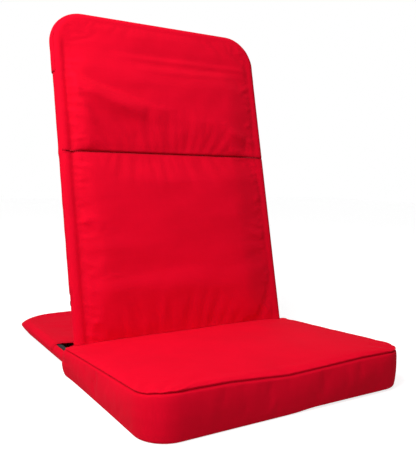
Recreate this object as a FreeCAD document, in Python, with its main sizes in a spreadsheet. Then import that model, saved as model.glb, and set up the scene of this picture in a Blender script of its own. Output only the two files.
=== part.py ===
import FreeCAD, Part
import math
import os
import re

import Sketcher

# Folding floor chair: a boxed seat cushion on a flat steel base loop, and a tall padded back
# hinged to the base just behind the cushion. The back folds forward until it lies on the seat.
# Millimetres. +X is the sitter's left as seen from the front, -Y is the front, +Z is up.
# Every piece is drawn with y measured back from the cushion's front edge, or along the back,
# and its Placement then puts it in the part's frame, whose origin is the middle of the floor
# area that the chair covers.

doc = FreeCAD.newDocument("folding_floor_chair")
sheet = doc.addObject("Spreadsheet::Sheet", "Sizes")

SIZES = [
    ("overall_depth", 762, "cushion front to the rear of the base sleeve"),
    ("cloth", 1.5, "thickness of the canvas with its lining"),
    ("soft_gap", 0.3, "room between cloth, foam and tube"),
    ("running_fit", 0.05, "radial clearance of the pivot"),
    ("seat_width", 533, "outside width of the cushion"),
    ("seat_depth", 385, "outside depth of the cushion"),
    ("seat_front_height", 76, "cushion height at the front seam"),
    ("seat_rear_height", 52, "cushion height near the rear seam"),
    ("seat_rear_roll", 3, "how far the top rolls down to the rear seam"),
    ("seat_crown", 6, "rise of the cushion's middle above its seams"),
    ("seat_corner", 60, "plan radius of the cushion's corners"),
    ("seat_draw", 3, "how far the cushion's sides draw in between the corners"),
    ("seat_tuck", 5, "how far the band tucks under at the floor"),
    ("base_side_inset", 9.5, "sides of the base sleeve inside the cushion's sides"),
    ("base_tube", 25, "diameter of the base tube"),
    ("base_wall", 1.5, "wall of the base tube"),
    ("base_bend", 78, "centreline radius of the base tube's rear corners"),
    ("base_front", 60, "front ends of the base tube behind the cushion front"),
    ("front_bar_y", 92, "front cross bar behind the cushion front"),
    ("bar_tube", 22, "diameter of the base cross bars"),
    ("bar_wall", 1.5, "wall of the cross bars"),
    ("sleeve_setback", 93, "front hem of the base sleeve's upper layer behind the cushion"),
    ("back_foot_inset", 18, "foot of the back's plane ahead of the cushion's rear"),
    ("back_foot_height", 52.7, "foot of the back's plane above the floor"),
    ("back_lean", 13.3, "lean of the back from upright, degrees"),
    ("back_length", 680, "foot of the back to its top edge"),
    ("back_side_inset", 16.5, "sides of the back inside the cushion's sides"),
    ("back_corner", 70, "outside radius of the back's top corners"),
    ("back_tube", 22, "diameter of the back tube"),
    ("back_wall", 1.5, "wall of the back tube"),
    ("back_bar", 19, "diameter of the back's cross bar"),
    ("back_bar_rise", 130, "cross bar above the foot of the back"),
    ("back_seam", 382, "sewn cross seam above the foot of the back"),
    ("back_seam_tape", 10, "width of the cross seam"),
    ("back_crown", 9, "rise of the back's foam above its edges"),
    ("pad_foot", 6, "bottom edge of the back's padding above its foot"),
    ("pad_top_margin", 25, "top edge of the padding below the top of the back"),
    ("rear_hem", 98, "bottom hem of the back's rear panel above its foot"),
    ("hood_depth", 115, "length of the hood pocket at the top of the back"),
    ("leg_below_pivot", 34, "back tube below the pivot"),
    ("pivot_height", 95, "pivot axis above the floor"),
    ("pivot_pin", 10, "diameter of the pivot bolt's shank"),
    ("pivot_thread", 8, "diameter of the pivot bolt's thread"),
    ("pivot_sleeve", 14, "outside diameter of the sleeve welded through each leg"),
    ("spacer_width", 5, "nylon spacer between bracket and leg"),
    ("spacer_diameter", 20, "outside diameter of the nylon spacer"),
    ("bracket_plate", 4, "thickness of the hinge brackets"),
    ("bracket_reach", 59, "rear cross bar behind the pivot axis"),
    ("bracket_arm", 19, "height of the bracket's arm at the pivot"),
    ("bolt_tail", 2, "thread of the pivot bolt past its nut"),
    ("stop_rise", 38, "stop pin above the pivot, along the back"),
    ("stop_reach", 17.6, "length of the stop pin behind the leg"),
    ("stop_head", 2, "thickness of the stop pin's head"),
    ("stop_pin", 6, "diameter of the steel stop pin"),
    ("stop_buffer", 10, "outside diameter of the rubber buffer"),
    ("nut_flats", 13, "width of the lock nuts across flats"),
    ("nut_height", 6.5, "height of the lock nuts"),
    ("plug_flange", 2.5, "thickness of the end plugs outside the tubes"),
    ("plug_depth", 16, "depth of the end plugs inside the tubes"),
    ("plug_room", 4, "room in the foam in front of the base tube's plugs"),
    ("rim_flat", 0.4, "flat left in the middle of the back's rounded rim"),
    ("zip_length", 360, "length of the zip at the rear of the cushion"),
    ("zip_width", 22, "width of the zip tapes together"),
    ("zip_height", 27, "middle of the zip above the floor"),
    ("zip_tape_proud", 0.4, "zip tape outside and inside the band it is sewn to"),
    ("zip_teeth", 5, "width of the zip's teeth"),
    ("zip_teeth_rise", 0.9, "teeth above the zip tape"),
    ("zip_play", 0.3, "clearance of the zip's slider and pull"),
    ("slider_start", 4, "slider's parking place from the end of the tape"),
    ("slider_length", 12, "length of the zip slider"),
    ("slider_width", 10, "width of the zip slider"),
    ("slider_height", 3, "height of the zip slider"),
    ("bridge_width", 6, "width of the slider's bridge, across and along"),
    ("bridge_rise", 3, "height of the slider's bridge"),
    ("pull_length", 22, "length of the zip pull"),
    ("pull_width", 9, "width of the zip pull"),
    ("pull_thick", 1, "thickness of the zip pull"),
    ("pull_bar", 2.5, "bar of the zip pull inside the bridge"),
    ("pull_window", 5.5, "length of the window in the zip pull"),
    ("cut_margin", 10, "how far a cutting form runs past what it cuts"),
]

for row, (word, number, note) in enumerate(SIZES, start=1):
    sheet.set(f"A{row}", word)
    sheet.set(f"B{row}", str(number))
    sheet.set(f"C{row}", note)
    sheet.setAlias(f"B{row}", word)
doc.recompute()

WORDS = re.compile(r"\b(" + "|".join(word for word, _, _ in SIZES) + r")\b")
V = FreeCAD.Vector


def linked(text):
    return WORDS.sub(r"Sizes.\1", str(text))


def size(text):
    return float(sheet.evalExpression(str(text)))


def bind(obj, prop, text):
    obj.setExpression(prop, linked(text))


# Places that several pieces share, written once as expressions on the sheet's sizes.
BASE_WIDTH = "(seat_width - 2*base_side_inset)"
BACK_WIDTH = "(seat_width - 2*back_side_inset)"
BACK_FOOT_Y = "(seat_depth - back_foot_inset)"
SLEEVE_MOUTH = "(seat_depth + sleeve_setback)"
BASE_LEG_X = f"({BASE_WIDTH}/2 - cloth - soft_gap - base_tube/2)"
BASE_TUBE_Z = "(cloth + soft_gap + base_tube/2)"
BASE_REAR_Y = "(overall_depth - cloth - soft_gap - base_tube/2)"
BACK_HALF = "(cloth + soft_gap + back_tube/2)"
BACK_LEG_X = f"({BACK_WIDTH}/2 - {BACK_HALF})"
BACK_TOP = f"(back_length - {BACK_HALF})"
PIVOT_RISE = "((pivot_height - back_foot_height)/cos(back_lean))"
PIVOT_Y = f"({BACK_FOOT_Y} + {PIVOT_RISE}*sin(back_lean))"
BAR_Y = f"({PIVOT_Y} + bracket_reach)"
STOP_BACK = "(back_tube/2 + stop_buffer/2 + running_fit)"
STOP_Y = f"({PIVOT_Y} + stop_rise*sin(back_lean) + {STOP_BACK}*cos(back_lean))"
STOP_Z = f"(pivot_height + stop_rise*cos(back_lean) - {STOP_BACK}*sin(back_lean))"
PLATE_OUTER_X = f"({BACK_LEG_X} - back_tube/2 - spacer_width)"
PLATE_INNER_X = f"({PLATE_OUTER_X} - bracket_plate)"

nodes = []


def set_on_base(obj, label):
    """Puts a piece drawn from the cushion's front edge into the part's frame."""
    bind(obj, "Placement.Base.y", "-overall_depth/2")
    obj.Label = label
    nodes.append(obj)
    return obj


def set_on_back(obj, label):
    """Leans a piece drawn upright along the back and stands it at the back's foot."""
    obj.Placement = FreeCAD.Placement(V(0, 0, 0), FreeCAD.Rotation(V(-1, 0, 0), size("back_lean")))
    bind(obj, "Placement.Base.y", f"{BACK_FOOT_Y} - overall_depth/2")
    bind(obj, "Placement.Base.z", "back_foot_height")
    bind(obj, "Placement.Rotation.Angle", "back_lean")
    obj.Label = label
    nodes.append(obj)
    return obj


TURNS = {
    "x": FreeCAD.Rotation(V(0, 1, 0), 90),
    "y": FreeCAD.Rotation(V(1, 0, 0), -90),
    "z": FreeCAD.Rotation(),
}


def rod(name, diameter, length, axis, at):
    """A cylinder from a point along an axis; its sizes and place follow the sheet."""
    cylinder = doc.addObject("Part::Cylinder", name)
    cylinder.Placement = FreeCAD.Placement(V(0, 0, 0), TURNS[axis])
    bind(cylinder, "Radius", f"({diameter})/2")
    bind(cylinder, "Height", length)
    for letter, text in zip("xyz", at):
        bind(cylinder, f"Placement.Base.{letter}", text)
    return cylinder


def cut(name, base, *tools):
    result = doc.addObject("Part::Cut", name)
    result.Base = base
    if len(tools) == 1:
        result.Tool = tools[0]
    else:
        both = doc.addObject("Part::Compound", name + "_tools")
        both.Links = list(tools)
        result.Tool = both
    return result


def fuse(name, *pieces):
    result = doc.addObject("Part::MultiFuse", name)
    result.Shapes = list(pieces)
    return result


def plane_of(body, role):
    return next(item for item in body.Origin.OriginFeatures if item.Role == role)


def sketch_on(body, name, role, offset="0"):
    sketch = body.newObject("Sketcher::SketchObject", name)
    sketch.AttachmentSupport = [(plane_of(body, role), "")]
    sketch.MapMode = "FlatFace"
    bind(sketch, "AttachmentOffset.Base.z", offset)
    return sketch


def dimension(sketch, kind, places, text):
    number = size(text)
    index = sketch.addConstraint(Sketcher.Constraint(kind, *places, number))
    bind(sketch, f"Constraints[{index}]", text)


def bent_tube(name, role, half_span, bend, end, top, diameter, wall):
    """A U of round tube: two legs that start at `end`, two corner bends, a cross run at `top`."""
    body = doc.addObject("PartDesign::Body", name)
    path = sketch_on(body, name + "_path", role)
    x, r, y0, y1 = size(half_span), size(bend), size(end), size(top)
    up, flat = V(0, 0, 1), Part.LineSegment
    path.addGeometry(flat(V(-x, y0, 0), V(-x, y1 - r, 0)))
    path.addGeometry(Part.ArcOfCircle(Part.Circle(V(r - x, y1 - r, 0), up, r), math.pi / 2, math.pi))
    path.addGeometry(flat(V(r - x, y1, 0), V(x - r, y1, 0)))
    path.addGeometry(Part.ArcOfCircle(Part.Circle(V(x - r, y1 - r, 0), up, r), 0, math.pi / 2))
    path.addGeometry(flat(V(x, y1 - r, 0), V(x, y0, 0)))
    for places in ((0, 2, 1, 2), (1, 1, 2, 1), (2, 2, 3, 2), (3, 1, 4, 1)):
        path.addConstraint(Sketcher.Constraint("Tangent", *places))
    path.addConstraint(Sketcher.Constraint("Vertical", 0))
    path.addConstraint(Sketcher.Constraint("Horizontal", 2))
    path.addConstraint(Sketcher.Constraint("Vertical", 4))
    path.addConstraint(Sketcher.Constraint("Equal", 1, 3))
    path.addConstraint(Sketcher.Constraint("Symmetric", 0, 1, 4, 2, -2))
    dimension(path, "DistanceX", (-1, 1, 4, 2), half_span)
    dimension(path, "Radius", (1,), bend)
    dimension(path, "DistanceY", (-1, 1, 4, 2), end)
    dimension(path, "DistanceY", (-1, 1, 2, 1), top)
    across = {"XY_Plane": ("XZ_Plane", f"-({end})"), "XZ_Plane": ("XY_Plane", end)}[role]
    ring = sketch_on(body, name + "_ring", across[0], across[1])
    for share in (f"({diameter})/2", f"({diameter})/2 - ({wall})"):
        index = ring.addGeometry(Part.Circle(V(-x, 0, 0), up, size(share)))
        dimension(ring, "DistanceX", (index, 3, -1, 1), half_span)
        ring.addConstraint(Sketcher.Constraint("PointOnObject", index, 3, -1))
        dimension(ring, "Radius", (index,), share)
    pipe = body.newObject("PartDesign::AdditivePipe", name + "_pipe")
    pipe.Profile = ring
    pipe.Spine = (path, [])
    return body


def cross_bar(name, diameter, wall, leg_x, leg_tube, y, z, leg_axis, leg_at):
    """A straight tube between two legs, its ends shaped to sit against them."""
    outer = rod(name + "_outer", diameter, f"2*{leg_x}", "x", (f"-{leg_x}", y, z))
    bore = rod(name + "_bore", f"{diameter} - 2*{wall}", f"2*{leg_x}", "x", (f"-{leg_x}", y, z))
    legs = []
    for side in ("-", ""):
        at = (f"{side}{leg_x}",) + leg_at
        legs.append(rod(name + "_saddle", leg_tube, f"2*{diameter}", leg_axis, at))
    return cut(name, outer, bore, *legs)


def end_plug(name, tube, wall, axis, mouth, inward):
    """A plastic plug: a flange outside the tube's end and a shank pushed into it."""
    flange_at = list(mouth)
    shank_at = list(mouth)
    letter = "xyz".index(axis)
    flange_at[letter] = f"{mouth[letter]} - plug_flange" if inward == 1 else mouth[letter]
    shank_at[letter] = mouth[letter] if inward == 1 else f"{mouth[letter]} - plug_depth"
    flange = rod(name + "_flange", tube, "plug_flange", axis, flange_at)
    shank = rod(name + "_shank", f"{tube} - 2*{wall}", "plug_depth", axis, shank_at)
    return fuse(name, flange, shank)


# Base frame

base_tube = bent_tube(
    "base_tube_body", "XY_Plane", BASE_LEG_X, "base_bend", "base_front", BASE_REAR_Y,
    "base_tube", "base_wall",
)
bind(base_tube, "Placement.Base.z", BASE_TUBE_Z)
set_on_base(base_tube, "base_frame_tube")

for label, bar_y in (("base_front_crossbar", "front_bar_y"), ("base_rear_crossbar", BAR_Y)):
    bar = cross_bar(
        label + "_bar", "bar_tube", "bar_wall", BASE_LEG_X, "base_tube", bar_y, BASE_TUBE_Z,
        "y", (f"{bar_y} - bar_tube", BASE_TUBE_Z),
    )
    set_on_base(bar, label)

for label, sign in (("left", "-"), ("right", "")):
    mouth = (f"{sign}{BASE_LEG_X}", "base_front", BASE_TUBE_Z)
    plug = end_plug(f"base_plug_{label}", "base_tube", "base_wall", "y", mouth, 1)
    set_on_base(plug, f"base_end_plug_{label}")


# Hinge brackets: each plate stands on the rear cross bar, reaches forward to the pivot at the
# height where the folded padding passes below it, and carries the stop pin on a horn above.

BRACKET_OUTLINE = [
    (f"{BAR_Y} - bar_tube/2", BASE_TUBE_Z),
    (f"{BAR_Y} - bar_tube/2", "pivot_height - bracket_arm/2"),
    (f"{PIVOT_Y} - bracket_arm/2", "pivot_height - bracket_arm/2"),
    (f"{PIVOT_Y} - bracket_arm/2", "pivot_height + bracket_arm/2"),
    (f"{STOP_Y} - stop_buffer", f"{STOP_Z} + stop_buffer"),
    (f"{STOP_Y} + stop_buffer", f"{STOP_Z} + stop_buffer"),
    (f"{BAR_Y} + bar_tube/2", "pivot_height - bracket_arm/4"),
    (f"{BAR_Y} + bar_tube/2", BASE_TUBE_Z),
]


def bracket(name, side):
    body = doc.addObject("PartDesign::Body", name)
    offset = PLATE_INNER_X if side > 0 else f"-{PLATE_OUTER_X}"
    sketch = sketch_on(body, name + "_outline", "YZ_Plane", offset)
    points = [V(size(y), size(z), 0) for y, z in BRACKET_OUTLINE]
    last = len(points)
    for i, point in enumerate(points):
        sketch.addGeometry(Part.LineSegment(point, points[(i + 1) % last]))
    for i, (y, z) in enumerate(BRACKET_OUTLINE):
        sketch.addConstraint(Sketcher.Constraint("Coincident", i, 2, (i + 1) % last, 1))
        dimension(sketch, "DistanceX", (-1, 1, i, 1), y)
        dimension(sketch, "DistanceY", (-1, 1, i, 1), z)
    pad = body.newObject("PartDesign::Pad", name + "_plate")
    pad.Profile = sketch
    bind(pad, "Length", "bracket_plate")
    doc.recompute()
    rounded = []
    for i, edge in enumerate(pad.Shape.Edges, start=1):
        ends = [vertex.Point for vertex in edge.Vertexes]
        across = len(ends) == 2 and abs(ends[0].x - ends[1].x) > size("bracket_plate") / 2
        if across and min(end.z for end in ends) > size(f"{BASE_TUBE_Z} + bracket_plate"):
            rounded.append(f"Edge{i}")
    fillet = body.newObject("PartDesign::Fillet", name + "_corners")
    fillet.Base = (pad, rounded)
    bind(fillet, "Radius", "0.45*bracket_arm")
    saddle = rod(name + "_saddle", "bar_tube", f"2*{PLATE_OUTER_X}", "x",
                 (f"-{PLATE_OUTER_X}", BAR_Y, BASE_TUBE_Z))
    pivot_hole = rod(name + "_pivot_hole", "pivot_thread", f"2*{PLATE_OUTER_X}", "x",
                     (f"-{PLATE_OUTER_X}", PIVOT_Y, "pivot_height"))
    stop_hole = rod(name + "_stop_hole", "stop_pin", f"2*{PLATE_OUTER_X}", "x",
                    (f"-{PLATE_OUTER_X}", STOP_Y, STOP_Z))
    return cut(name + "_drilled", body, saddle, pivot_hole, stop_hole)


BOLT_END = f"({BACK_LEG_X} + sqrt((back_tube/2)^2 - (pivot_sleeve/2)^2))"

for label, side in (("left", -1), ("right", 1)):

    def from_inside(inner, length):
        """The lower x of a stretch that starts `inner` from the middle on this side."""
        return inner if side > 0 else f"-({inner} + {length})"

    set_on_base(bracket(f"bracket_{label}", side), f"hinge_bracket_{label}")
    pivot = (PIVOT_Y, "pivot_height")
    stop = (STOP_Y, STOP_Z)

    shank_length = f"({BOLT_END} - {PLATE_OUTER_X})"
    thread_length = "(bracket_plate + nut_height + bolt_tail)"
    shank = rod(f"bolt_shank_{label}", "pivot_pin", shank_length, "x",
                (from_inside(PLATE_OUTER_X, shank_length),) + pivot)
    thread = rod(f"bolt_thread_{label}", "pivot_thread", thread_length, "x",
                 (from_inside(f"({PLATE_OUTER_X} - {thread_length})", thread_length),) + pivot)
    set_on_base(fuse(f"bolt_{label}", shank, thread), f"pivot_bolt_{label}")

    nut_x = from_inside(f"({PLATE_INNER_X} - nut_height)", "nut_height")
    hexagon = doc.addObject("Part::Prism", f"nut_hexagon_{label}")
    hexagon.Polygon = 6
    hexagon.Placement = FreeCAD.Placement(V(0, 0, 0), TURNS["x"])
    bind(hexagon, "Circumradius", "nut_flats/(2*cos(30))")
    bind(hexagon, "Height", "nut_height")
    for letter, text in zip("xyz", (nut_x,) + pivot):
        bind(hexagon, f"Placement.Base.{letter}", text)
    bore = rod(f"nut_bore_{label}", "pivot_thread", "nut_height", "x", (nut_x,) + pivot)
    set_on_base(cut(f"nut_{label}", hexagon, bore), f"pivot_nut_{label}")

    spacer_x = from_inside(PLATE_OUTER_X, "spacer_width")
    disc = rod(f"spacer_disc_{label}", "spacer_diameter", "spacer_width - running_fit", "x",
               (spacer_x if side > 0 else f"{spacer_x} + running_fit",) + pivot)
    hole = rod(f"spacer_hole_{label}", "pivot_pin", "spacer_width", "x", (spacer_x,) + pivot)
    set_on_base(cut(f"spacer_{label}", disc, hole), f"pivot_spacer_{label}")

    stop_length = "(bracket_plate + spacer_width + stop_reach)"
    pin = rod(f"stop_rod_{label}", "stop_pin", stop_length, "x",
              (from_inside(PLATE_INNER_X, stop_length),) + stop)
    head = rod(f"stop_head_{label}", "stop_buffer", "stop_head", "x",
               (from_inside(f"({PLATE_INNER_X} - stop_head)", "stop_head"),) + stop)
    set_on_base(fuse(f"stop_{label}", pin, head), f"stop_pin_{label}")
    grip_length = f"({stop_length} - bracket_plate)"
    grip_x = from_inside(PLATE_OUTER_X, grip_length)
    grip = rod(f"buffer_tube_{label}", "stop_buffer", grip_length, "x", (grip_x,) + stop)
    grip_bore = rod(f"buffer_bore_{label}", "stop_pin", grip_length, "x", (grip_x,) + stop)
    set_on_base(cut(f"buffer_{label}", grip, grip_bore), f"stop_buffer_{label}")


# Back frame, drawn upright: x across, y behind the middle of the tubes, z up the back

tube = bent_tube(
    "back_tube_body", "XZ_Plane", BACK_LEG_X, f"back_corner - {BACK_HALF}",
    f"{PIVOT_RISE} - leg_below_pivot", BACK_TOP, "back_tube", "back_wall",
)
leg_holes = rod("leg_holes", "pivot_sleeve", f"2*{BACK_WIDTH}", "x",
                (f"-{BACK_WIDTH}", "0", PIVOT_RISE))
set_on_back(cut("back_tube_drilled", tube, leg_holes), "back_frame_tube")

bar = cross_bar(
    "back_bar", "back_bar", "back_wall", BACK_LEG_X, "back_tube", "0", "back_bar_rise",
    "z", ("0", "back_bar_rise - back_bar"),
)
set_on_back(bar, "back_lower_crossbar")

for label, side in (("left", -1), ("right", 1)):
    sign = "-" if side < 0 else ""
    mouth = (f"{sign}{BACK_LEG_X}", "0", f"{PIVOT_RISE} - leg_below_pivot")
    plug = end_plug(f"back_plug_{label}", "back_tube", "back_wall", "z", mouth, 1)
    set_on_back(plug, f"back_leg_plug_{label}")

    inner = f"({BACK_LEG_X} - back_tube/2)"
    length = f"({BOLT_END} - {inner})"
    start = inner if side > 0 else f"-{BOLT_END}"
    outer = rod(f"leg_sleeve_{label}", "pivot_sleeve", length, "x", (start, "0", PIVOT_RISE))
    bore = rod(f"leg_sleeve_bore_{label}", "pivot_pin + 2*running_fit", length, "x",
               (start, "0", PIVOT_RISE))
    set_on_back(cut(f"sleeve_{label}", outer, bore), f"pivot_sleeve_{label}")

doc.recompute()


# Soft pieces: closed forms lofted through lines and arcs

margin = size("cut_margin")


def solid(label, shape, place):
    obj = doc.addObject("Part::Feature", label + "_form")
    obj.Shape = shape
    place(obj, label)


def arc(start, middle, end):
    return Part.Arc(start, middle, end).toShape()


def line(start, end):
    return Part.LineSegment(start, end).toShape()


def cushion_outline(inset, z):
    """The cushion's plan at one height: rounded corners and sides drawn in between them."""
    half = size("seat_width") / 2 - inset
    front = inset
    rear = size("seat_depth") - inset
    r = size("seat_corner") - inset
    draw = size("seat_draw")
    lean = r * (1 - math.cos(math.radians(45)))
    middle = (front + rear) / 2
    edges = [
        arc(V(r - half, front, z), V(0, front + draw, z), V(half - r, front, z)),
        arc(V(half - r, front, z), V(half - lean, front + lean, z), V(half, front + r, z)),
        arc(V(half, front + r, z), V(half - draw, middle, z), V(half, rear - r, z)),
        arc(V(half, rear - r, z), V(half - lean, rear - lean, z), V(half - r, rear, z)),
        line(V(half - r, rear, z), V(r - half, rear, z)),
        arc(V(r - half, rear, z), V(lean - half, rear - lean, z), V(-half, rear - r, z)),
        arc(V(-half, rear - r, z), V(draw - half, middle, z), V(-half, front + r, z)),
        arc(V(-half, front + r, z), V(lean - half, front + lean, z), V(r - half, front, z)),
    ]
    return Part.Wire(edges)


def cushion_sides(inset):
    """The cushion's outer wall from the floor to above its crown, tucked in at the floor."""
    tuck = size("seat_tuck")
    full = size("seat_front_height")
    levels = ((0, tuck), (0.14, 0.2 * tuck), (0.45, 0), (0.8, 0.1 * tuck), (1.2, 0.3 * tuck))
    return Part.makeLoft([cushion_outline(inset + give, full * up) for up, give in levels], True)


def below_crown(drop):
    """All that lies below the cushion's crowned top, lowered by `drop`."""
    half = size("seat_width") / 2 + margin
    least = size("soft_gap")
    depth = size("seat_depth")
    front, rear = size("seat_front_height"), size("seat_rear_height")
    wires = []
    roll = size("seat_rear_roll")
    stations = (
        (-0.06, 0, 0), (0.05, 0.45, 0), (0.25, 0.9, 0), (0.5, 1, 0), (0.75, 0.8, 0),
        (0.93, 0.4, 0), (1, 0.1, roll), (1.06, 0, 3 * roll),
    )
    for share, crown, fall in stations:
        y = depth * share
        z = front + (rear - front) * share - drop - fall
        peak = z + size("seat_crown") * crown + least
        corners = V(-half, y, -margin), V(-half, y, z), V(half, y, z), V(half, y, -margin)
        wires.append(Part.Wire([
            line(corners[0], corners[1]),
            arc(corners[1], V(0, y, peak), corners[2]),
            line(corners[2], corners[3]),
            line(corners[3], corners[0]),
        ]))
    return Part.makeLoft(wires, True)


def cube(x0, x1, y0, y1, z0, z1):
    return Part.makeBox(x1 - x0, y1 - y0, z1 - z0, V(x0, y0, z0))


cloth = size("cloth")
gap = size("soft_gap")
wide = size("seat_width")
deep = size("seat_depth")
outer_wall = cushion_sides(0)
inner_wall = cushion_sides(cloth)
skin_top = below_crown(0)
skin_under = below_crown(cloth)

top_panel = outer_wall.common(skin_top.cut(skin_under))
band = outer_wall.cut(inner_wall).common(skin_under)
floor_slab = cube(-wide, wide, -margin, deep + margin, -margin, cloth)
bottom_panel = inner_wall.common(floor_slab)

foam = cushion_sides(cloth + gap).common(below_crown(cloth + gap))
foam = foam.cut(cube(-wide, wide, -margin, deep + margin, -margin, cloth + gap))
groove = size("base_tube") / 2 + 2 * gap
leg_x, tube_z = size(BASE_LEG_X), size(BASE_TUBE_Z)
groove_start = size("base_front - plug_flange - plug_room")
for x in (-leg_x, leg_x):
    bore = Part.makeCylinder(groove, deep, V(x, groove_start, tube_z), V(0, 1, 0))
    slot = cube(x - groove, x + groove, groove_start, groove_start + deep, cloth, tube_z)
    tunnel = bore.fuse(slot)
    foam = foam.cut(tunnel)
    band = band.cut(tunnel)
bar_y, bar_groove = size("front_bar_y"), size("bar_tube") / 2 + 2 * gap
bore = Part.makeCylinder(bar_groove, 2 * leg_x, V(-leg_x, bar_y, tube_z), V(1, 0, 0))
slot = cube(-leg_x, leg_x, bar_y - bar_groove, bar_y + bar_groove, cloth, tube_z)
foam = foam.cut(bore.fuse(slot))

# Zip let into the rear of the band, with its slider parked at the left end
zip_half, zip_z, zip_w = size("zip_length") / 2, size("zip_height"), size("zip_width") / 2
play, proud, teeth_w = size("zip_play"), size("zip_tape_proud"), size("zip_teeth") / 2
tape_y, face_y = deep - cloth - proud, deep + proud
teeth_y = face_y + size("zip_teeth_rise")
tape_box = cube(-zip_half, zip_half, tape_y, face_y, zip_z - zip_w, zip_z + zip_w)
teeth = cube(-zip_half, zip_half, face_y, teeth_y, zip_z - teeth_w, zip_z + teeth_w)
room = cube(-zip_half - gap, zip_half + gap, tape_y - gap, deep + margin, zip_z - zip_w - gap,
            zip_z + zip_w + gap)
band = band.cut(room)
foam = foam.cut(room)

solid("seat_foam", foam, set_on_base)
solid("seat_top_panel", top_panel, set_on_base)
solid("seat_side_band", band, set_on_base)
solid("seat_bottom_panel", bottom_panel, set_on_base)
solid("seat_zip_tape", tape_box.fuse(teeth).removeSplitter(), set_on_base)

# The slider's shell straddles the teeth; the pull's bar turns in the bridge on top of it
slide_x, slide_w = size("slider_start") - zip_half, size("slider_width") / 2
slide_end = slide_x + size("slider_length")
shell_y = face_y + play
bridge_y = shell_y + size("slider_height")
shell = cube(slide_x, slide_end, shell_y, bridge_y, zip_z - slide_w, zip_z + slide_w)
track = cube(slide_x - margin, slide_end + margin, deep, teeth_y + play, zip_z - teeth_w - play,
             zip_z + teeth_w + play)
pull_x, pull_w = (slide_x + slide_end) / 2, size("pull_width") / 2
pull_y = bridge_y + (size("bridge_rise") - size("pull_thick")) / 2
pull_back = pull_y + size("pull_thick")
pull_top = zip_z + size("pull_bar") / 2
bridge_w = size("bridge_width") / 2
post = cube(pull_x - bridge_w, pull_x + bridge_w, bridge_y, bridge_y + size("bridge_rise"),
            zip_z - bridge_w, zip_z + bridge_w)
eye = cube(slide_x, slide_end, pull_y - play, pull_back + play, pull_top - size("pull_bar") - play,
           pull_top + play)
slider = shell.cut(track).fuse(post.cut(eye)).removeSplitter()
solid("seat_zip_slider", slider, set_on_base)
pull = cube(pull_x - pull_w, pull_x + pull_w, pull_y, pull_back, pull_top - size("pull_length"),
            pull_top)
window_top = pull_top - size("pull_bar")
window_w = bridge_w + play
window = cube(pull_x - window_w, pull_x + window_w, pull_y - margin, pull_back + margin,
              window_top - size("pull_window"), window_top)
solid("seat_zip_pull", pull.cut(window), set_on_base)


# Base sleeve: a flat case of cloth pulled over the rear of the base loop

def sleeve_slab(inset, mouth, z0, z1, rounded_z, radius):
    half = size(BASE_WIDTH) / 2 - inset
    rear = size("overall_depth") - inset
    r = size("base_bend") + size(BASE_TUBE_Z) - inset
    lean = r * (1 - math.cos(math.radians(45)))
    wire = Part.Wire([
        line(V(-half, mouth, z0), V(-half, rear - r, z0)),
        arc(V(-half, rear - r, z0), V(lean - half, rear - lean, z0), V(r - half, rear, z0)),
        line(V(r - half, rear, z0), V(half - r, rear, z0)),
        arc(V(half - r, rear, z0), V(half - lean, rear - lean, z0), V(half, rear - r, z0)),
        line(V(half, rear - r, z0), V(half, mouth, z0)),
        line(V(half, mouth, z0), V(-half, mouth, z0)),
    ])
    slab = Part.Face(wire).extrude(V(0, 0, z1 - z0))
    rim = [
        edge for edge in slab.Edges
        if abs(edge.BoundBox.ZMin - rounded_z) < 0.01 and abs(edge.BoundBox.ZMax - rounded_z) < 0.01
        and edge.BoundBox.YMax > mouth + margin
    ]
    return slab.makeFillet(radius, rim)


sleeve_top_z = 2 * tube_z
round_out, round_in = tube_z - cloth, tube_z - 2 * cloth
mouth = size(SLEEVE_MOUTH)
lower_mouth = deep + cloth
upper = sleeve_slab(0, mouth, tube_z, sleeve_top_z, sleeve_top_z, round_out)
inside_top = sleeve_top_z - cloth
upper = upper.cut(sleeve_slab(cloth, mouth - margin, cloth, inside_top, inside_top, round_in))
lower = sleeve_slab(0, lower_mouth, 0, tube_z, 0, round_out)
lower = lower.cut(sleeve_slab(cloth, lower_mouth - margin, cloth, inside_top, cloth, round_in))
solid("base_sleeve_upper", upper, set_on_base)
solid("base_sleeve_lower", lower, set_on_base)


# Back padding, drawn upright: each pad swells between its bottom, its sides and the cross seam

frame_half = size(BACK_HALF)
pad_half = size(BACK_LEG_X) - gap
foam_edge = frame_half + cloth
crown = size("back_crown")
deepest = foam_edge + crown + margin


def pad(low, high, half, rear, edge, crown):
    """A pad from `low` to `high`, `rear` to `edge` thick at its sides and crowned between."""
    wires = []
    swells = ((0, 0.15), (0.06, 0.6), (0.25, 0.92), (0.5, 1), (0.75, 0.92), (0.94, 0.6), (1, 0.15))
    for share, swell in swells:
        z = low + (high - low) * share
        front = -edge - crown * swell
        wires.append(Part.Wire([
            line(V(half, -rear, z), V(-half, -rear, z)),
            line(V(-half, -rear, z), V(-half, -edge, z)),
            arc(V(-half, -edge, z), V(0, front, z), V(half, -edge, z)),
            line(V(half, -edge, z), V(half, -rear, z)),
        ]))
    return Part.makeLoft(wires, True)


def between_tubes(outset, top):
    """The room in front of the frame, up to `top`, its corners rounded like the tube's bends."""
    half = pad_half + outset
    r = size("back_corner") - frame_half + outset
    lean = r * (1 - math.cos(math.radians(45)))
    y = -deepest
    wire = Part.Wire([
        line(V(-half, y, -margin), V(-half, y, top - r)),
        arc(V(-half, y, top - r), V(lean - half, y, top - lean), V(r - half, y, top)),
        line(V(r - half, y, top), V(half - r, y, top)),
        arc(V(half - r, y, top), V(half - lean, y, top - lean), V(half, y, top - r)),
        line(V(half, y, top - r), V(half, y, -margin)),
        line(V(half, y, -margin), V(-half, y, -margin)),
    ])
    return Part.Face(wire).extrude(V(0, deepest, 0))


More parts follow.
